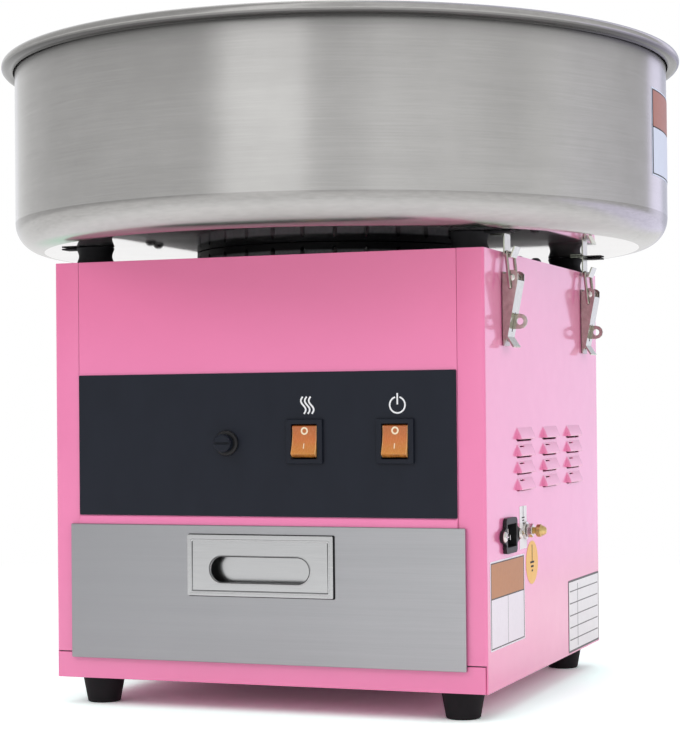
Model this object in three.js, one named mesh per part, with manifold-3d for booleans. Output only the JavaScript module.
// A tabletop candy floss machine: a square sheet metal housing on rubber feet, a steel bowl held
// down by four toggle latches, and a heated head that an electric motor spins inside the bowl.
// Millimetres. X runs to the machine's right, Y to its back and Z up. The origin lies on the
// table under the middle of the housing. Heights are measured from the housing's underside.

import * as THREE from 'three';
import { mergeVertices } from 'three/addons/utils/BufferGeometryUtils.js';
import Module from 'manifold-3d';

const wasm = await Module();
wasm.setup();

// Gaps between pieces
const seatGap = 0.3;
const pinClearance = 0.25;

// Housing
const bodyWidth = 325;
const bodyDepth = 325;
const bodyHeight = 300;
const sheet = 1.2;
const sideReturn = 19.1;
const trayLip = 18.3;
const frontPanelBottomZ = 107;
const coverHoleRadius = 22;
const coverScrewInset = 12.5;
const coverScrewY = -30;
const coverScrewHeadRadius = 4.5;
const coverScrewHeadHeight = 3.4;
const coverScrewShankRadius = 2;
const coverScrewLength = 11;

// Feet
const footHeight = 20;
const footTopRadius = 15.3;
const footBottomRadius = 11.8;
const footInset = 25;

// Louvres, in columns along the side and rows up it
const louvreLength = 46;
const louvreHeight = 7.5;
const louvreBulge = 4.5;
const louvreWall = 0.9;
const louvreRowPitch = 12;
const louvreRows = 4;
const louvreColumnPitch = 71.3;
const louvreColumns = 3;
const louvreMiddleY = 9.3;
const louvreLowestZ = 133.6;

// Control fascia, a thin sheet over the front panel
const fasciaThickness = 0.8;
const fasciaBottomZ = 117.6;
const fasciaTopZ = 218;
const fasciaEdgeGap = 0.4;

// Rocker switches
const switchZ = 169.9;
const heatSwitchX = 33;
const powerSwitchX = 99.3;
const bezelWidth = 27;
const bezelHeight = 30.7;
const bezelThickness = 2.2;
const switchBodyWidth = 22.4;
const switchBodyHeight = 27;
const switchBodyDepth = 26;
const rockerWidth = 18.4;
const rockerHalfLength = 10;
const rockerReach = 7.6;
const rockerSag = 2.2;
const rockerRoot = 5;
const rockerPivotDepth = 5;
const rockerTilt = 10.5;
const rockerRoom = 0.6;
const rockerPocketDepth = 13;

// Fuse holder
const fuseX = -26.2;
const fuseZ = 168.9;
const fuseBezelRadius = 9;
const fuseBezelThickness = 2.4;
const fuseBodyRadius = 7;
const fuseBodyDepth = 34;
const fuseCapRadius = 6.5;
const fuseCapLength = 10;
const fuseStemRadius = 4.4;
const fuseStemLength = 20;
const fuseSlotWidth = 1.6;
const fuseSlotDepth = 1.5;

// Drawer
const drawerFrontWidth = 297.4;
const drawerFrontBottomZ = 15;
const drawerFrontTopZ = 111.3;
const drawerFrontThickness = 3;
const drawerFrontGap = 0.5;
const drawerBoxWidth = 282;
const drawerBackRoom = 35.2;
const drawerBoxHeight = 80;
const runnerReach = 22;
const runnerHeight = 21;
const runnerBackRoom = 23.5;

// Drawer pull, a plate with a hand slot over a closed cup
const pullWidth = 110;
const pullHeight = 43;
const pullPlate = 1.2;
const pullCentreX = -0.8;
const pullCentreZ = 83.3;
const pullSlotWidth = 75;
const pullSlotHeight = 18;
const pullSlotRise = -2.9;
const pullCupWidth = 98;
const pullCupHeight = 32;
const pullCupDepth = 22;

// Mains inlet and earth stud in the right side panel
const inletFromFront = 54;
const inletZ = 103.3;
const inletBlockWidth = 28;
const inletBlockHeight = 24.6;
const inletEarWidth = 50;
const inletEarHeight = 12;
const inletFlange = 2.4;
const inletBodyWidth = 26;
const inletBodyHeight = 19;
const inletBodyDepth = 22;
const inletSocketWidth = 22.4;
const inletSocketHeight = 16;
const inletSocketDepth = 14;
const inletScrewPitch = 40;
const screwShankRadius = 1.5;
const screwHeadRadius = 3.1;
const screwHeadHeight = 1.8;
const screwLength = 9;
const earthStudFromFront = 96.5;
const earthStudZ = 104.2;
const earthStudRadius = 2.5;
const earthStudReach = 16;
const earthStudInside = 10;
const earthWasherRadius = 6.4;
const earthWasherThickness = 1.6;
const earthNutRadius = 5;
const earthNutThickness = 4.2;

// Bowl
const bowlLift = 13;
const bowlHeight = 144;
const bowlWallRadius = 250;
const bowlRimRadius = 260;
const bowlCornerRadius = 28;
const bowlSheet = 1.2;
const bowlRimHalfHeight = 4.6;
const bowlHoleRadius = 88;
const bowlCollarHeight = 20;
const bowlCollarBend = 6;

// Rubber rests and the vented ring between the housing and the bowl
const restInsetX = 18.5;
const restInsetY = 28.5;
const restRadius = 14;
const restWaist = 11.8;
const restTabReach = 31;
const restTabWidth = 12;
const restTabThickness = 1.2;
const ringRadius = 112;
const ringWall = 7;
const ringVents = 30;
const ringVentWidth = 9;
const ringVentHeight = 8;

// Motor, its bracket and the slip ring
const motorRadius = 52;
const motorHeight = 118;
const motorShaftDepth = 16;
const bracketDrop = 33.5;
const bracketWidth = 150;
const bracketDepth = 96;
const bracketSheet = 3;
const bracketFlange = 22;
const bracketHoleRadius = 10;
const slipRingRadius = 16;
const slipRingHeight = 20;
const slipRingLift = 3;
const slipRingGroove = 1.5;
const brushBlockLength = 26;
const brushBlockWidth = 18;

// Spinning head
const shaftRadius = 6;
const headRadius = 76;
const headLift = 12;
const headFloor = 2.4;
const headRimHeight = 10;
const hubRadius = 15;
const hubDrop = 7;
const bandRadius = 72;
const bandWall = 1.2;
const bandHeight = 31;
const bandSlots = 36;
const bandSlotWidth = 4;
const bandSlotHeight = 16;
const heaterRadius = 62;
const heaterTubeRadius = 3.5;
const lidWall = 1.8;
const lidRise = 16;
const cupRadius = 28;
const cupDepth = 36;

// Toggle latches. Their outward distances are from the housing's side, and their heights from its
// top.
const latchFromFront = 50.5;
const latchFromRear = 46.5;
const latchSheet = 1.2;
const pivotOut = 7.6;
const pivotZ = -18.2;
const pivotRadius = 1.6;
const baseWidth = 14.4;
const baseBottomZ = -65.2;
const baseTopZ = -14;
const earRadius = 3.2;
const earBottomZ = -22.5;
const earTopZ = -15.5;
const eyeZ = -48.3;
const eyeOut = 11;
const eyeRadius = 5.3;
const eyeHoleRadius = 2.5;
const eyeThickness = 1.5;
const leverGap = 0.4;
const leverInnerOut = 0.9;
const leverTopRadius = 5.2;
const leverWebTopOut = 12;
const leverWebTopZ = -20;
const leverWebBottomOut = 4.4;
const leverWebBottomZ = -59;
const leverTabOut = 9;
const leverTabZ = -66.2;
const leverCheekBottomZ = -62.2;
const leverSlotMargin = 1.1;
const bailPivotOut = 6.6;
const bailPivotZ = -25.1;
const bailBarOut = 4.1;
const bailBarZ = -0.6;
const bailWireRadius = 1.1;

// Hooked keepers that hang from the bowl over the latches
const keeperWidth = 15;
const keeperSheet = 1.2;
const keeperInside = 8;
const keeperOut = 1.9;
const keeperBottomZ = -3.6;
const keeperTroughOut = 6.6;
const keeperLipOut = 9.6;
const keeperBend = 1;
const keeperLipZ = 3.6;

// Counts of sides on round pieces
const wireSides = 8;
const pinSides = 12;
const smallSides = 20;
const headSides = 36;
const bowlSides = 48;

// Places that follow from the sizes above
const panelTopZ = bodyHeight - sheet - seatGap;
const sideFace = bodyWidth / 2;
const frontFace = -bodyDepth / 2;
const rearFace = bodyDepth / 2;
const sideInner = sideFace - sheet - seatGap;
const panelHalfWidth = sideFace - sideReturn - seatGap;
const fasciaFront = frontFace - seatGap - fasciaThickness;
const inletY = frontFace + inletFromFront;
const earthStudY = frontFace + earthStudFromFront;
const coverScrewX = sideFace - coverScrewInset;
const runnerBottomZ = trayLip + seatGap;
const drawerBoxZ = runnerBottomZ + sheet + seatGap;
const drawerFrontBack = frontFace - drawerFrontGap;
const drawerBoxFront = drawerFrontBack + seatGap;
const drawerBoxBack = rearFace - drawerBackRoom;
const bowlUndersideZ = bodyHeight + bowlLift;
const bowlTopZ = bowlUndersideZ + bowlHeight;
const undersideZ = bowlUndersideZ - seatGap;
const bracketPlateZ = panelTopZ - bracketDrop;
const motorTopZ = bracketPlateZ - seatGap;
const bracketTopZ = bracketPlateZ + bracketSheet;
const headZ = bowlUndersideZ + headLift;
const headFloorTop = headZ + headFloor;
const bandTopZ = headFloorTop + seatGap + bandHeight;
const leverHalfInner = baseWidth / 2 + leverGap;
const leverHalfWidth = leverHalfInner + latchSheet;
const bailHalfWidth = leverHalfWidth + leverGap + bailWireRadius;

const finishes = {
  pinkPaint: { color: 0xe88ab4, roughness: 0.4, metalness: 0 },
  blackPaint: { color: 0x1a1b1e, roughness: 0.5, metalness: 0 },
  fasciaFilm: { color: 0x2c2f38, roughness: 0.45, metalness: 0 },
  brushedSteel: { color: 0xa6a6a4, roughness: 0.35, metalness: 1 },
  bowlSteel: { color: 0xabaaa8, roughness: 0.3, metalness: 1 },
  brightSteel: { color: 0xc9c7c2, roughness: 0.2, metalness: 1 },
  rubber: { color: 0x141415, roughness: 0.8, metalness: 0 },
  blackPlastic: { color: 0x17171a, roughness: 0.4, metalness: 0 },
  amberPlastic: { color: 0xc26a1e, roughness: 0.3, metalness: 0 },
  brass: { color: 0xb8913a, roughness: 0.3, metalness: 1 },
  aluminium: { color: 0xb4b6b8, roughness: 0.4, metalness: 1 },
  motorPaint: { color: 0x3b3e42, roughness: 0.6, metalness: 0.2 },
  heater: { color: 0x4a4642, roughness: 0.7, metalness: 0.6 },
};

// A closed geometry as a solid that can be joined and cut
function solid(geometry) {
  const bare = geometry.clone();
  bare.deleteAttribute('normal');
  bare.deleteAttribute('uv');
  const merged = mergeVertices(bare, 1e-4);
  const index = merged.index.array;
  const kept = [];
  for (let i = 0; i < index.length; i += 3) {
    const [a, b, c] = index.slice(i, i + 3);
    if (a !== b && b !== c && c !== a) kept.push(a, b, c);
  }
  return new wasm.Manifold(new wasm.Mesh({
    numProp: 3,
    vertProperties: merged.attributes.position.array,
    triVerts: Uint32Array.from(kept),
  }));
}

// The surface of a solid as a geometry
function surface(manifold) {
  const mesh = manifold.getMesh();
  const geometry = new THREE.BufferGeometry();
  geometry.setAttribute('position', new THREE.BufferAttribute(mesh.vertProperties, 3));
  geometry.setIndex(new THREE.BufferAttribute(mesh.triVerts, 1));
  geometry.computeVertexNormals();
  return geometry;
}

// One solid made of several
function joined(solids) {
  return solids.reduce((whole, next) => whole.add(next));
}

// What is left of a solid after others are cut out of it
function cut(whole, cutters) {
  return cutters.reduce((left, cutter) => left.subtract(cutter), whole);
}

// A block between its low and high planes along X, Y and Z
function block(x0, x1, y0, y1, z0, z1) {
  const geometry = new THREE.BoxGeometry(x1 - x0, y1 - y0, z1 - z0);
  geometry.translate((x0 + x1) / 2, (y0 + y1) / 2, (z0 + z1) / 2);
  return solid(geometry);
}

// A round bar along an axis, from start to end, centred on a place in the other two directions.
// A bar with an end radius of its own tapers to it.
function bar(axis, radius, start, end, centre = [0, 0], sides = smallSides, endRadius = radius) {
  const geometry = new THREE.CylinderGeometry(endRadius, radius, end - start, sides);
  geometry.translate(0, (start + end) / 2, 0);
  const [a, b] = centre;
  if (axis === 'x') geometry.rotateZ(-Math.PI / 2).translate(0, a, b);
  if (axis === 'y') geometry.translate(a, 0, b);
  if (axis === 'z') geometry.rotateX(Math.PI / 2).translate(a, b, 0);
  return solid(geometry);
}

// Corners of an outline in anticlockwise order
function outline(points) {
  const corners = points.map(([a, b]) => new THREE.Vector2(a, b));
  if (THREE.ShapeUtils.isClockWise(corners)) corners.reverse();
  return corners;
}

// A ring turned about the vertical axis from a closed outline of radii and heights
function turned(points, sides) {
  const corners = outline(points);
  corners.push(corners[0].clone());
  const geometry = new THREE.LatheGeometry(corners, sides);
  geometry.rotateX(Math.PI / 2);
  return solid(geometry);
}

// An outline extruded along an axis. Its two directions are the other axes in X, Y, Z order.
function prism(axis, points, start, end) {
  const shape = new THREE.Shape(outline(points));
  const geometry = new THREE.ExtrudeGeometry(shape, { depth: end - start, bevelEnabled: false });
  if (axis === 'z') geometry.translate(0, 0, start);
  if (axis === 'y') geometry.rotateX(Math.PI / 2).translate(0, end, 0);
  if (axis === 'x') geometry.rotateX(Math.PI / 2).rotateZ(Math.PI / 2).translate(start, 0, 0);
  return solid(geometry);
}

// Points round part of an ellipse, from one angle in degrees to another
function arc(centre, radii, from, to, steps) {
  const points = [];
  for (let i = 0; i <= steps; i += 1) {
    const angle = THREE.MathUtils.degToRad(from + ((to - from) * i) / steps);
    points.push([centre[0] + radii[0] * Math.cos(angle), centre[1] + radii[1] * Math.sin(angle)]);
  }
  return points;
}

// The outline of a strip of even thickness that is bent along a line
function strip(line, thickness) {
  const points = line.map(([a, b]) => new THREE.Vector2(a, b));
  const last = points.length - 1;
  const near = [];
  const far = [];
  points.forEach((point, i) => {
    const before = points[Math.max(i, 1)].clone().sub(points[Math.max(i, 1) - 1]);
    const after = points[Math.min(i, last - 1) + 1].clone().sub(points[Math.min(i, last - 1)]);
    const normal = new THREE.Vector2(-before.y, before.x).normalize();
    const mitre = new THREE.Vector2(-after.y, after.x).normalize().add(normal).normalize();
    mitre.multiplyScalar(thickness / 2 / mitre.dot(normal));
    near.push([point.x + mitre.x, point.y + mitre.y]);
    far.unshift([point.x - mitre.x, point.y - mitre.y]);
  });
  return [...near, ...far];
}

// The outline of a slot with round ends
function roundSlot(centre, width, height) {
  const reach = (width - height) / 2;
  const radii = [height / 2, height / 2];
  const right = arc([centre[0] + reach, centre[1]], radii, -90, 90, 8);
  const left = arc([centre[0] - reach, centre[1]], radii, 90, 270, 8);
  return [...right, ...left];
}

// A named mesh with a material of its own
function piece(name, shape, finish) {
  const mesh = new THREE.Mesh(surface(shape), new THREE.MeshStandardMaterial(finishes[finish]));
  mesh.name = name;
  return mesh;
}

// A nested group with a place of its own, turned about the vertical
function placed(children, x, y, z, turn = 0) {
  const holder = new THREE.Group();
  holder.add(...children);
  holder.position.set(x, y, z);
  holder.rotation.z = turn;
  return holder;
}

// Rubber feet, cones that narrow to the table
function feet() {
  const height = footHeight - seatGap;
  const made = [];
  for (const [end, y] of [['front', frontFace + footInset], ['rear', rearFace - footInset]]) {
    for (const [side, x] of [['left', footInset - sideFace], ['right', sideFace - footInset]]) {
      const cone = bar('z', footBottomRadius, 0, height, [0, 0], smallSides, footTopRadius);
      made.push(placed([piece(`foot_${end}_${side}`, cone, 'rubber')], x, y, 0));
    }
  }
  return made;
}

// Folded tray that closes the housing below. Its front fold shows under the drawer.
function baseTray() {
  const rear = rearFace - sheet - seatGap;
  const outer = block(-sideInner, sideInner, frontFace, rear, 0, trayLip);
  const hollow = block(
    sheet - sideInner, sideInner - sheet,
    frontFace + sheet, rear - sheet,
    sheet, trayLip + sheet,
  );
  return piece('base_tray', cut(outer, [hollow]), 'pinkPaint');
}

// One pressed louvre in the side: the hood that stands out, and the slot that opens down under it
function louvre(y, z) {
  const low = y - louvreLength / 2;
  const high = y + louvreLength / 2;
  const inside = sideFace - sheet;
  const crown = sideFace + louvreBulge;
  const hood = prism('y', [
    [inside + sheet / 2, z],
    [crown, z],
    [crown, z + louvreWall],
    [sideFace, z + louvreHeight],
    [inside + sheet / 2, z + louvreHeight],
  ], low, high);
  const slot = prism('y', [
    [inside - sheet, z + louvreWall / 2],
    [sideFace + louvreWall / 2, z + louvreWall / 2],
    [sideFace + louvreWall / 2, z - sheet],
    [crown - louvreWall, z - sheet],
    [crown - louvreWall, z + louvreWall / 2],
    [sideFace, z + louvreHeight - 2 * louvreWall],
    [inside - sheet, z + louvreHeight - 2 * louvreWall],
  ], low + louvreWall, high - louvreWall);
  return { hood, slot };
}

// Holes in the right side panel for the mains inlet, its screws and the earth stud
function sideCutters() {
  const from = sideFace - 2 * sheet;
  const to = sideFace + sheet;
  const halfWidth = inletBodyWidth / 2 + seatGap;
  const halfHeight = inletBodyHeight / 2 + seatGap;
  const window = block(
    from, to,
    inletY - halfWidth, inletY + halfWidth,
    inletZ - halfHeight, inletZ + halfHeight,
  );
  const screwHoles = [-1, 1].map((end) => {
    const y = inletY + (end * inletScrewPitch) / 2;
    return bar('x', screwShankRadius + seatGap, from, to, [y, inletZ], pinSides);
  });
  const studPlace = [earthStudY, earthStudZ];
  const studHole = bar('x', earthStudRadius + seatGap, from, to, studPlace, pinSides);
  return [window, ...screwHoles, studHole];
}

// Side panel, folded round the front and back corners. It is drawn on the right. The left one is
// turned half round, so its louvres are placed from the other end.
function sidePanel(name, side, holes) {
  const middle = sideFace - sheet;
  const edge = sideFace - sideReturn;
  const shell = prism('z', [
    [edge, frontFace], [sideFace, frontFace], [sideFace, rearFace], [edge, rearFace],
    [edge, rearFace - sheet], [middle, rearFace - sheet],
    [middle, frontFace + sheet], [edge, frontFace + sheet],
  ], 0, panelTopZ);
  const notchY = [side * (frontFace - sheet), side * (frontFace + sheet + seatGap)];
  const trayNotch = block(
    edge - sheet, middle,
    Math.min(...notchY), Math.max(...notchY),
    -sheet, trayLip + seatGap,
  );
  const louvres = [];
  for (let column = 0; column < louvreColumns; column += 1) {
    const y = louvreMiddleY + (column - (louvreColumns - 1) / 2) * louvreColumnPitch;
    for (let row = 0; row < louvreRows; row += 1) {
      louvres.push(louvre(side * y, louvreLowestZ + row * louvreRowPitch));
    }
  }
  const hooded = joined([shell, ...louvres.map((each) => each.hood)]);
  const panel = cut(hooded, [trayNotch, ...louvres.map((each) => each.slot), ...holes]);
  return placed([piece(name, panel, 'pinkPaint')], 0, 0, 0, side > 0 ? 0 : Math.PI);
}

// Holes that the two switches and the fuse holder need through the front
function controlCutters(near, far) {
  const halfWidth = switchBodyWidth / 2 + seatGap;
  const halfHeight = switchBodyHeight / 2 + seatGap;
  const windows = [heatSwitchX, powerSwitchX].map((x) => block(
    x - halfWidth, x + halfWidth,
    near, far,
    switchZ - halfHeight, switchZ + halfHeight,
  ));
  return [...windows, bar('y', fuseBodyRadius + seatGap, near, far, [fuseX, fuseZ])];
}

// Front panel between the side folds, above the drawer
function frontPanel() {
  const plate = block(
    -panelHalfWidth, panelHalfWidth,
    frontFace, frontFace + sheet,
    frontPanelBottomZ, panelTopZ,
  );
  const cutters = controlCutters(frontFace - sheet, frontFace + 2 * sheet);
  return piece('front_panel', cut(plate, cutters), 'pinkPaint');
}

// Back panel between the side folds
function backPanel() {
  const plate = block(
    -panelHalfWidth, panelHalfWidth,
    rearFace - sheet, rearFace,
    0, panelTopZ,
  );
  return piece('back_panel', plate, 'pinkPaint');
}

// Flat black cover that closes the housing above, with a hole for the shaft
function topCover() {
  const plate = block(-sideFace, sideFace, frontFace, rearFace, -sheet, 0);
  const shaftHole = bar('z', coverHoleRadius, -2 * sheet, sheet, [0, 0], headSides);
  const screwHoles = [-coverScrewX, coverScrewX].map((x) => bar(
    'z', coverScrewShankRadius + seatGap,
    -2 * sheet, sheet,
    [x, coverScrewY], pinSides,
  ));
  const cover = piece('top_cover', cut(plate, [shaftHole, ...screwHoles]), 'blackPaint');
  return placed([cover], 0, 0, bodyHeight);
}

// Round-headed screws that hold the cover down at its sides
function coverScrews() {
  const radii = [coverScrewShankRadius, coverScrewHeadRadius];
  const headTop = seatGap + coverScrewHeadHeight;
  return [['left', -coverScrewX], ['right', coverScrewX]].map(([side, x]) => {
    const shank = bar('z', radii[0], headTop - coverScrewLength, 2 * seatGap, [0, 0], pinSides);
    const head = bar('z', radii[1], seatGap, headTop, [0, 0], smallSides, radii[1] - seatGap);
    const screw = piece(`cover_screw_${side}`, joined([shank, head]), 'blackPaint');
    return placed([screw], x, coverScrewY, bodyHeight);
  });
}

// Dark control fascia
function controlFascia() {
  const halfWidth = panelHalfWidth - fasciaEdgeGap;
  const plate = block(
    -halfWidth, halfWidth,
    fasciaFront, fasciaFront + fasciaThickness,
    fasciaBottomZ, fasciaTopZ,
  );
  const cutters = controlCutters(fasciaFront - sheet, fasciaFront + fasciaThickness + sheet);
  return piece('control_fascia', cut(plate, cutters), 'fasciaFilm');
}

// A rocker switch round the middle of its bezel's front: the housing with a pocket, and the
// rocker, which rests with its top pressed in and its lower half out
function rockerSwitch(name, x) {
  const pocketHalfWidth = rockerWidth / 2 + seatGap;
  const tilt = THREE.MathUtils.degToRad(rockerTilt);
  const pocketHalfHeight = rockerHalfLength + rockerReach * Math.sin(tilt) + rockerRoom;
  const bezel = block(
    -bezelWidth / 2, bezelWidth / 2,
    0, bezelThickness,
    -bezelHeight / 2, bezelHeight / 2,
  );
  const casing = block(
    -switchBodyWidth / 2, switchBodyWidth / 2,
    bezelThickness / 2, bezelThickness + switchBodyDepth,
    -switchBodyHeight / 2, switchBodyHeight / 2,
  );
  const pocket = block(
    -pocketHalfWidth, pocketHalfWidth,
    -bezelThickness, rockerPocketDepth,
    -pocketHalfHeight, pocketHalfHeight,
  );
  const shell = cut(joined([bezel, casing]), [pocket]);
  const housing = piece(`${name}_switch_housing`, shell, 'blackPlastic');

  const lever = prism('x', [
    [rockerRoot, -rockerRoot / 2],
    [rockerRoot, rockerRoot / 2],
    [0, rockerHalfLength],
    [-rockerReach, rockerHalfLength],
    [rockerSag - rockerReach, 0],
    [-rockerReach, -rockerHalfLength],
    [0, -rockerHalfLength],
  ], -rockerWidth / 2, rockerWidth / 2);
  const rocker = piece(`${name}_switch_rocker`, lever, 'amberPlastic');
  rocker.position.y = rockerPivotDepth;
  rocker.rotation.x = -tilt;
  return placed([housing, rocker], x, fasciaFront - seatGap - bezelThickness, switchZ);
}

// Panel fuse holder round the middle of its bezel's front: the threaded body with its bore, and
// the cap with its stem in that bore and a coin slot in its face
function fuseHolder() {
  const bore = fuseStemRadius + seatGap;
  const bezel = bar('y', fuseBezelRadius, 0, fuseBezelThickness);
  const body = bar('y', fuseBodyRadius, fuseBezelThickness / 2, fuseBezelThickness + fuseBodyDepth);
  const well = bar('y', bore, -fuseBezelThickness, fuseStemLength + seatGap);
  const holder = piece('fuse_holder', cut(joined([bezel, body]), [well]), 'blackPlastic');

  const head = bar('y', fuseCapRadius, -seatGap - fuseCapLength, -seatGap);
  const stem = bar('y', fuseStemRadius, -seatGap - fuseCapLength / 2, fuseStemLength);
  const coinSlot = block(
    -fuseCapRadius, fuseCapRadius,
    -2 * fuseCapLength, fuseSlotDepth - seatGap - fuseCapLength,
    -fuseSlotWidth / 2, fuseSlotWidth / 2,
  );
  const cap = piece('fuse_cap', cut(joined([head, stem]), [coinSlot]), 'blackPlastic');
  return placed([holder, cap], fuseX, fasciaFront - seatGap - fuseBezelThickness, fuseZ);
}

// Angle runner on each side, which the drawer box slides on
function drawerRunners() {
  const profile = [
    [sideInner - runnerReach, 0], [sideInner, 0], [sideInner, runnerHeight],
    [sideInner - sheet, runnerHeight], [sideInner - sheet, sheet], [sideInner - runnerReach, sheet],
  ];
  const front = frontFace + sheet + seatGap;
  const back = rearFace - runnerBackRoom;
  return [
    ['right', front, back, 0],
    ['left', -back, -front, Math.PI],
  ].map(([side, from, to, turn]) => {
    const rail = piece(`drawer_runner_${side}`, prism('y', profile, from, to), 'brightSteel');
    return placed([rail], 0, 0, runnerBottomZ, turn);
  });
}

// Drawer: a folded steel box on the runners, its brushed front, and the pull that goes through both
function drawer() {
  const halfWidth = drawerBoxWidth / 2;
  const slotZ = pullCentreZ + pullSlotRise;
  const cupHalf = pullCupWidth / 2;
  const cupLow = pullCentreZ - pullCupHeight / 2;
  const cupHigh = pullCentreZ + pullCupHeight / 2;
  const plateBack = drawerFrontBack - drawerFrontThickness - seatGap;
  const plateFront = plateBack - pullPlate;

  const opening = block(
    pullCentreX - cupHalf - seatGap, pullCentreX + cupHalf + seatGap,
    drawerFrontBack - 2 * drawerFrontThickness, drawerBoxFront + 2 * sheet,
    cupLow - seatGap, cupHigh + seatGap,
  );
  const outer = block(
    -halfWidth, halfWidth,
    drawerBoxFront, drawerBoxBack,
    drawerBoxZ, drawerBoxZ + drawerBoxHeight,
  );
  const hollow = block(
    sheet - halfWidth, halfWidth - sheet,
    drawerBoxFront + sheet, drawerBoxBack - sheet,
    drawerBoxZ + sheet, drawerBoxZ + drawerBoxHeight + sheet,
  );
  const box = piece('drawer_box', cut(outer, [hollow, opening]), 'brightSteel');

  const plate = block(
    -drawerFrontWidth / 2, drawerFrontWidth / 2,
    drawerFrontBack - drawerFrontThickness, drawerFrontBack,
    drawerFrontBottomZ, drawerFrontTopZ,
  );
  const face = piece('drawer_front', cut(plate, [opening]), 'brushedSteel');

  const flange = block(
    pullCentreX - pullWidth / 2, pullCentreX + pullWidth / 2,
    plateFront, plateBack,
    pullCentreZ - pullHeight / 2, pullCentreZ + pullHeight / 2,
  );
  const cup = block(
    pullCentreX - cupHalf, pullCentreX + cupHalf,
    plateFront, plateFront + pullCupDepth,
    cupLow, cupHigh,
  );
  const cupHollow = block(
    pullCentreX - cupHalf + pullPlate, pullCentreX + cupHalf - pullPlate,
    plateBack, plateFront + pullCupDepth - pullPlate,
    cupLow + pullPlate, cupHigh - pullPlate,
  );
  const slot = prism(
    'y',
    roundSlot([pullCentreX, slotZ], pullSlotWidth, pullSlotHeight),
    plateFront - pullPlate, plateBack + pullPlate,
  );
  const pull = piece('drawer_pull', cut(joined([flange, cup]), [cupHollow, slot]), 'brushedSteel');
  return [box, face, pull];
}

// Mains inlet: a flange outside the panel, a body behind it and the socket for a loose cord's plug
function mainsInlet() {
  const flangeBack = seatGap;
  const flangeFront = seatGap + inletFlange;
  const middleBlock = block(
    flangeBack, flangeFront,
    -inletBlockWidth / 2, inletBlockWidth / 2,
    -inletBlockHeight / 2, inletBlockHeight / 2,
  );
  const ears = prism('x', roundSlot([0, 0], inletEarWidth, inletEarHeight), flangeBack, flangeFront);
  const body = block(
    flangeFront - inletBodyDepth, flangeFront,
    -inletBodyWidth / 2, inletBodyWidth / 2,
    -inletBodyHeight / 2, inletBodyHeight / 2,
  );
  const socket = block(
    flangeFront - inletSocketDepth, flangeFront + inletFlange,
    -inletSocketWidth / 2, inletSocketWidth / 2,
    -inletSocketHeight / 2, inletSocketHeight / 2,
  );
  const ends = [-inletScrewPitch / 2, inletScrewPitch / 2];
  const holeRadius = screwShankRadius + seatGap;
  const holes = ends.map((y) => bar('x', holeRadius, 0, 2 * flangeFront, [y, 0], pinSides));
  const shell = cut(joined([middleBlock, ears, body]), [socket, ...holes]);
  const inlet = piece('mains_inlet', shell, 'blackPlastic');
  const headStart = flangeFront + seatGap;
  const screws = ends.map((y, i) => {
    const headEnd = headStart + screwHeadHeight;
    const head = bar('x', screwHeadRadius, headStart, headEnd, [y, 0], pinSides);
    const shankEnd = headStart - screwLength;
    const shank = bar('x', screwShankRadius, shankEnd, headStart + seatGap, [y, 0], pinSides);
    return piece(`inlet_screw_${i === 0 ? 'front' : 'rear'}`, joined([head, shank]), 'brightSteel');
  });
  return placed([inlet, ...screws], sideFace, inletY, inletZ);
}

// Brass earth stud with its washer outside the panel, and the nut on it
function earthStud() {
  const washerEnd = seatGap + earthWasherThickness;
  const nutStart = washerEnd + seatGap;
  const nutEnd = nutStart + earthNutThickness;
  const shank = bar('x', earthStudRadius, -earthStudInside, earthStudReach, [0, 0], pinSides);
  const washer = bar('x', earthWasherRadius, seatGap, washerEnd);
  const stud = piece('earth_stud', joined([shank, washer]), 'brass');
  const hexagon = bar('x', earthNutRadius, nutStart, nutEnd, [0, 0], 6);
  const boreRadius = earthStudRadius + pinClearance;
  const bore = bar('x', boreRadius, nutStart - seatGap, nutEnd + seatGap, [0, 0], pinSides);
  const nut = piece('earth_nut', cut(hexagon, [bore]), 'brass');
  return placed([stud, nut], sideFace, earthStudY, earthStudZ);
}

// Electric motor under its bracket, with a bore in its top for the shaft
function motor() {
  const can = bar('z', motorRadius, motorTopZ - motorHeight, motorTopZ, [0, 0], headSides);
  const bore = bar('z', shaftRadius + seatGap, motorTopZ - motorShaftDepth, motorTopZ + sheet);
  return piece('motor', cut(can, [bore]), 'motorPaint');
}

// Bracket that hangs the motor from the top cover: a plate, two legs and two flanges
function motorBracket() {
  const half = bracketWidth / 2;
  const top = panelTopZ;
  const section = strip([
    [-half - bracketFlange, top - bracketSheet / 2],
    [-half, top - bracketSheet / 2],
    [-half, bracketPlateZ + bracketSheet / 2],
    [half, bracketPlateZ + bracketSheet / 2],
    [half, top - bracketSheet / 2],
    [half + bracketFlange, top - bracketSheet / 2],
  ], bracketSheet);
  const folded = prism('y', section, -bracketDepth / 2, bracketDepth / 2);
  const holeBottom = bracketPlateZ - bracketSheet;
  const hole = bar('z', bracketHoleRadius, holeBottom, bracketTopZ + bracketSheet);
  return piece('motor_bracket', cut(folded, [hole]), 'brightSteel');
}

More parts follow.
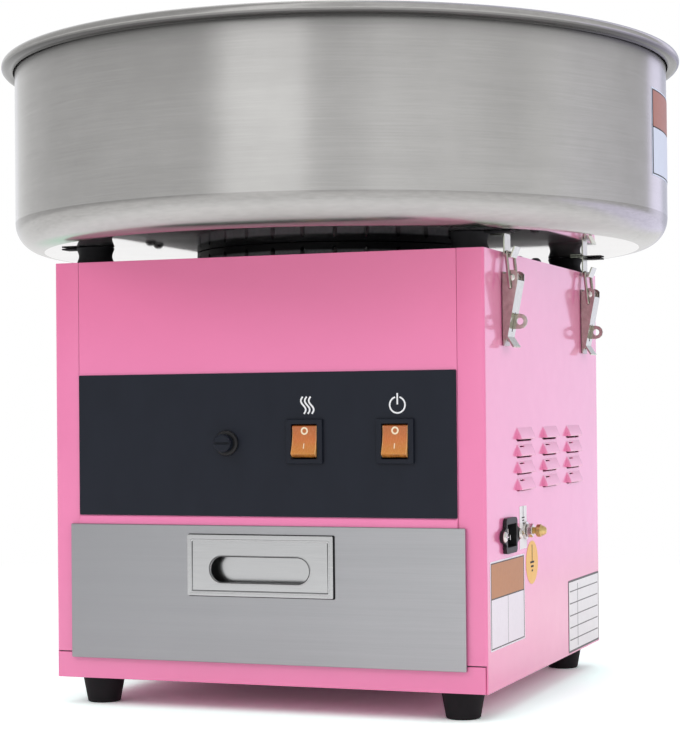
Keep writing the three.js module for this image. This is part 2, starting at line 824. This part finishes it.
// Slip ring on the shaft, with a groove for each supply, and the brush block beside it
function slipRing() {
  const low = bracketTopZ + slipRingLift;
  const high = low + slipRingHeight;
  const inner = shaftRadius + pinClearance;
  const step = slipRingHeight / 5;
  const groove = slipRingRadius - slipRingGroove;
  const ring = turned([
    [inner, low], [slipRingRadius, low],
    [slipRingRadius, low + step], [groove, low + step],
    [groove, low + 2 * step], [slipRingRadius, low + 2 * step],
    [slipRingRadius, low + 3 * step], [groove, low + 3 * step],
    [groove, low + 4 * step], [slipRingRadius, low + 4 * step],
    [slipRingRadius, high], [inner, high],
  ], smallSides);
  const near = slipRingRadius + seatGap;
  const brushes = block(
    near, near + brushBlockLength,
    -brushBlockWidth / 2, brushBlockWidth / 2,
    bracketTopZ + seatGap, high,
  );
  return [piece('slip_ring', ring, 'brass'), piece('brush_block', brushes, 'blackPlastic')];
}

// Drive shaft from the motor up into the head
function driveShaft() {
  const low = motorTopZ - motorShaftDepth + seatGap;
  const shaft = bar('z', shaftRadius, low, headFloorTop + headRimHeight);
  return piece('drive_shaft', shaft, 'brightSteel');
}

// Spinning head: the base dish on the shaft, the heater ring, the slotted band and the lid,
// whose middle is the cup that sugar is poured into
function spinningHead() {
  const bore = shaftRadius + pinClearance;
  const dish = turned([
    [bore, headZ - hubDrop], [hubRadius, headZ - hubDrop], [hubRadius, headZ],
    [headRadius, headZ], [headRadius, headFloorTop + headRimHeight],
    [headRadius - headFloor, headFloorTop + headRimHeight], [headRadius - headFloor, headFloorTop],
    [bore, headFloorTop],
  ], headSides);

  const tubeZ = headFloorTop + seatGap + heaterTubeRadius;
  const tube = arc([heaterRadius, tubeZ], [heaterTubeRadius, heaterTubeRadius], 0, 315, 7);
  const heater = turned(tube, headSides);

  const bandLow = headFloorTop + seatGap;
  const wall = turned([
    [bandRadius - bandWall, bandLow], [bandRadius, bandLow],
    [bandRadius, bandTopZ], [bandRadius - bandWall, bandTopZ],
  ], headSides);
  const slotMiddle = (headFloorTop + headRimHeight + bandTopZ) / 2;
  const slots = [];
  for (let i = 0; i < bandSlots / 2; i += 1) {
    const across = new THREE.BoxGeometry(2 * headRadius, bandSlotWidth, bandSlotHeight);
    across.rotateZ(((i + 0.5) * 2 * Math.PI) / bandSlots).translate(0, 0, slotMiddle);
    slots.push(solid(across));
  }
  const band = cut(wall, slots);

  const lidZ = bandTopZ + seatGap;
  const lid = turned(strip([
    [headRadius, lidZ + lidWall / 2],
    [headRadius - headRimHeight, lidZ + lidWall / 2],
    [cupRadius + lidRise / 2, lidZ + lidRise],
    [cupRadius, lidZ + lidRise],
    [cupRadius, lidZ + lidRise - cupDepth],
  ], lidWall), headSides);
  return [
    piece('head_base', dish, 'aluminium'),
    piece('heater_ring', heater, 'heater'),
    piece('floss_band', band, 'aluminium'),
    piece('head_lid', lid, 'aluminium'),
  ];
}

// Vented black ring that stands on the cover and carries the middle of the bowl
function ventRing() {
  const ring = turned([
    [ringRadius - ringWall, bodyHeight + seatGap], [ringRadius, bodyHeight + seatGap],
    [ringRadius, undersideZ], [ringRadius - ringWall, undersideZ],
  ], headSides);
  const vents = [];
  for (let i = 0; i < ringVents; i += 1) {
    const vent = new THREE.BoxGeometry(3 * ringWall, ringVentWidth, 2 * ringVentHeight);
    vent.translate(ringRadius, 0, bodyHeight).rotateZ((i * 2 * Math.PI) / ringVents);
    vents.push(solid(vent));
  }
  return piece('vent_ring', cut(ring, vents), 'blackPlastic');
}

// Waisted rubber rests near the corners, each with a flat tab that reaches out past the housing
function bowlRests() {
  const height = bowlLift - 2 * seatGap;
  const restX = sideFace - restInsetX;
  const made = [];
  for (const [end, y] of [['front', frontFace + restInsetY], ['rear', rearFace - restInsetY]]) {
    for (const [side, x, turn] of [['left', -restX, Math.PI], ['right', restX, 0]]) {
      const lower = bar('z', restRadius, 0, height / 2, [0, 0], smallSides, restWaist);
      const upper = bar('z', restWaist, height / 2, height, [0, 0], smallSides, restRadius);
      const tab = block(
        0, restTabReach,
        -restTabWidth / 2, restTabWidth / 2,
        height - restTabThickness, height,
      );
      const rest = piece(`bowl_rest_${end}_${side}`, joined([lower, upper, tab]), 'rubber');
      made.push(placed([rest], x, y, bodyHeight + seatGap, turn));
    }
  }
  return made;
}

// Spun steel bowl in one sheet: a collar round the middle hole, the flat floor, a round corner,
// the wall, and the edge rolled outward and down
function bowl() {
  const half = bowlSheet / 2;
  const floor = bowlUndersideZ + half;
  const wall = bowlWallRadius - half;
  const corner = bowlCornerRadius - half;
  const rollWidth = (bowlRimRadius - half - wall) / 2;
  const rollHeight = bowlRimHalfHeight - half;
  const rollZ = bowlTopZ - bowlRimHalfHeight;
  const collar = bowlHoleRadius + half;
  const bend = bowlCollarBend;
  const line = [
    [collar, floor + bowlCollarHeight],
    ...arc([collar + bend, floor + bend], [bend, bend], 180, 270, 3),
    ...arc([wall - corner, floor + corner], [corner, corner], -90, 0, 6),
    ...arc([wall + rollWidth, rollZ], [rollWidth, rollHeight], 180, -90, 9),
  ];
  return piece('bowl', turned(strip(line, bowlSheet), bowlSides), 'bowlSteel');
}

// Keeper that hangs under the bowl's floor, its lower end hooked outward and up
function keeper(name) {
  const flangeZ = bowlLift - seatGap - keeperSheet / 2;
  const line = [
    [-keeperInside, flangeZ],
    [keeperOut, flangeZ],
    [keeperOut, keeperBottomZ + keeperBend],
    [keeperOut + keeperBend, keeperBottomZ],
    [keeperTroughOut, keeperBottomZ],
    [keeperLipOut, keeperLipZ],
  ];
  const hook = prism('y', strip(line, keeperSheet), -keeperWidth / 2, keeperWidth / 2);
  return piece(`keeper_${name}`, hook, 'brightSteel');
}

// Fixed half of a latch: the plate on the panel, two ears with the pivot pin, and the padlock eye
function latchBase(name) {
  const half = baseWidth / 2;
  const plate = block(seatGap, seatGap + latchSheet, -half, half, baseBottomZ, baseTopZ);
  const earLine = [
    [seatGap, earBottomZ],
    ...arc([pivotOut, pivotZ], [earRadius, earRadius], -60, 90, 5),
    [seatGap, earTopZ],
  ];
  const ears = [
    prism('y', earLine, -half, latchSheet - half),
    prism('y', earLine, half - latchSheet, half),
  ];
  const pivot = [pivotOut, pivotZ];
  const pin = bar('y', pivotRadius, -leverHalfWidth, leverHalfWidth, pivot, pinSides);
  const eyeLine = [
    [seatGap, eyeZ - eyeRadius],
    ...arc([eyeOut, eyeZ], [eyeRadius, eyeRadius], -90, 90, 6),
    [seatGap, eyeZ + eyeRadius],
  ];
  const eye = prism('y', eyeLine, -eyeThickness / 2, eyeThickness / 2);
  const hole = bar('y', eyeHoleRadius, -half, half, [eyeOut, eyeZ], pinSides);
  const base = cut(joined([plate, ...ears, pin, eye]), [hole]);
  return piece(`latch_base_${name}`, base, 'brightSteel');
}

// Lever of a latch: two cheeks beside the base, a sloping web outside them with a slot for the
// padlock eye, and a tab for the finger at its foot
function latchLever(name) {
  const cheekLine = [
    [leverInnerOut, leverWebBottomZ],
    [leverInnerOut, earBottomZ],
    ...arc([pivotOut, pivotZ], [leverTopRadius, leverTopRadius], 180, 30, 6),
    [leverWebTopOut, leverWebTopZ],
    [leverWebBottomOut, leverWebBottomZ],
    [leverWebBottomOut - latchSheet, leverCheekBottomZ],
  ];
  const cheeks = [
    prism('y', cheekLine, -leverHalfWidth, -leverHalfInner),
    prism('y', cheekLine, leverHalfInner, leverHalfWidth),
  ];
  const sheetHalf = latchSheet / 2;
  const webLine = strip([
    [leverWebTopOut - sheetHalf, leverWebTopZ],
    [leverWebBottomOut - sheetHalf, leverWebBottomZ],
    [leverTabOut - sheetHalf, leverTabZ],
  ], latchSheet);
  const web = prism('y', webLine, -leverHalfWidth, leverHalfWidth);
  const nearReach = Math.hypot(eyeOut - pivotOut, pivotZ - eyeZ - eyeRadius) - leverSlotMargin;
  const inner = [pivotOut - seatGap, pivotZ - eyeZ + eyeRadius];
  const outer = [eyeOut + eyeRadius / 2 - pivotOut, pivotZ - eyeZ + eyeRadius];
  const farReach = Math.max(Math.hypot(...inner), Math.hypot(...outer)) + leverSlotMargin;
  const eyeSlot = block(
    -leverWebTopOut, 2 * leverWebTopOut,
    -eyeThickness / 2 - leverGap, eyeThickness / 2 + leverGap,
    pivotZ - farReach, pivotZ - nearReach,
  );
  const holes = [
    [pivotRadius, [pivotOut, pivotZ]],
    [bailWireRadius, [bailPivotOut, bailPivotZ]],
  ].map(([radius, place]) => bar(
    'y', radius + pinClearance,
    -bailHalfWidth, bailHalfWidth,
    place, pinSides,
  ));
  const lever = cut(joined([...cheeks, web]), [eyeSlot, ...holes]);
  return piece(`latch_lever_${name}`, lever, 'brightSteel');
}

// Wire bail of a latch: a bar in the keeper's hook, two rods outside the lever's cheeks, and ends
// that turn in to the holes in the cheeks
function latchBail(name) {
  const low = new THREE.Vector2(bailPivotOut, bailPivotZ);
  const high = new THREE.Vector2(bailBarOut, bailBarZ);
  const lean = Math.atan2(low.x - high.x, high.y - low.y);
  const length = low.distanceTo(high);
  const place = [bailBarOut, bailBarZ];
  const wire = [bar('y', bailWireRadius, -bailHalfWidth, bailHalfWidth, place, wireSides)];
  for (const end of [-1, 1]) {
    const rod = new THREE.CylinderGeometry(bailWireRadius, bailWireRadius, length, wireSides);
    rod.rotateX(Math.PI / 2).rotateY(-lean);
    rod.translate((low.x + high.x) / 2, end * bailHalfWidth, (low.y + high.y) / 2);
    wire.push(solid(rod));
    const tip = [end * (leverHalfInner + seatGap), end * bailHalfWidth].sort((a, b) => a - b);
    wire.push(bar('y', bailWireRadius, ...tip, [bailPivotOut, bailPivotZ], wireSides));
    for (const corner of [low, high]) {
      const bend = new THREE.SphereGeometry(bailWireRadius, wireSides, wireSides / 2);
      bend.rotateX(Math.PI / 2).translate(corner.x, end * bailHalfWidth, corner.y);
      wire.push(solid(bend));
    }
  }
  return piece(`latch_bail_${name}`, joined(wire), 'brightSteel');
}

// The latches and their keepers, two on each side. They are drawn on the right, and the left ones
// are turned half round.
function latches() {
  const made = [];
  const places = [['front', frontFace + latchFromFront], ['rear', rearFace - latchFromRear]];
  for (const [end, y] of places) {
    for (const [side, x, turn] of [['left', -sideFace, Math.PI], ['right', sideFace, 0]]) {
      const name = `${end}_${side}`;
      const set = [keeper(name), latchBase(name), latchLever(name), latchBail(name)];
      made.push(placed(set, x, y, bodyHeight, turn));
    }
  }
  return made;
}

const machine = new THREE.Group();
machine.add(...feet(), placed([
  baseTray(),
  sidePanel('left_side_panel', -1, []),
  sidePanel('right_side_panel', 1, sideCutters()),
  frontPanel(),
  backPanel(),
  topCover(),
  ...coverScrews(),
  controlFascia(),
  rockerSwitch('heat', heatSwitchX),
  rockerSwitch('power', powerSwitchX),
  fuseHolder(),
  ...drawerRunners(),
  ...drawer(),
  mainsInlet(),
  earthStud(),
  motor(),
  motorBracket(),
  ...slipRing(),
  driveShaft(),
  ...spinningHead(),
  ventRing(),
  ...bowlRests(),
  bowl(),
  ...latches(),
], 0, 0, footHeight));

export default machine;
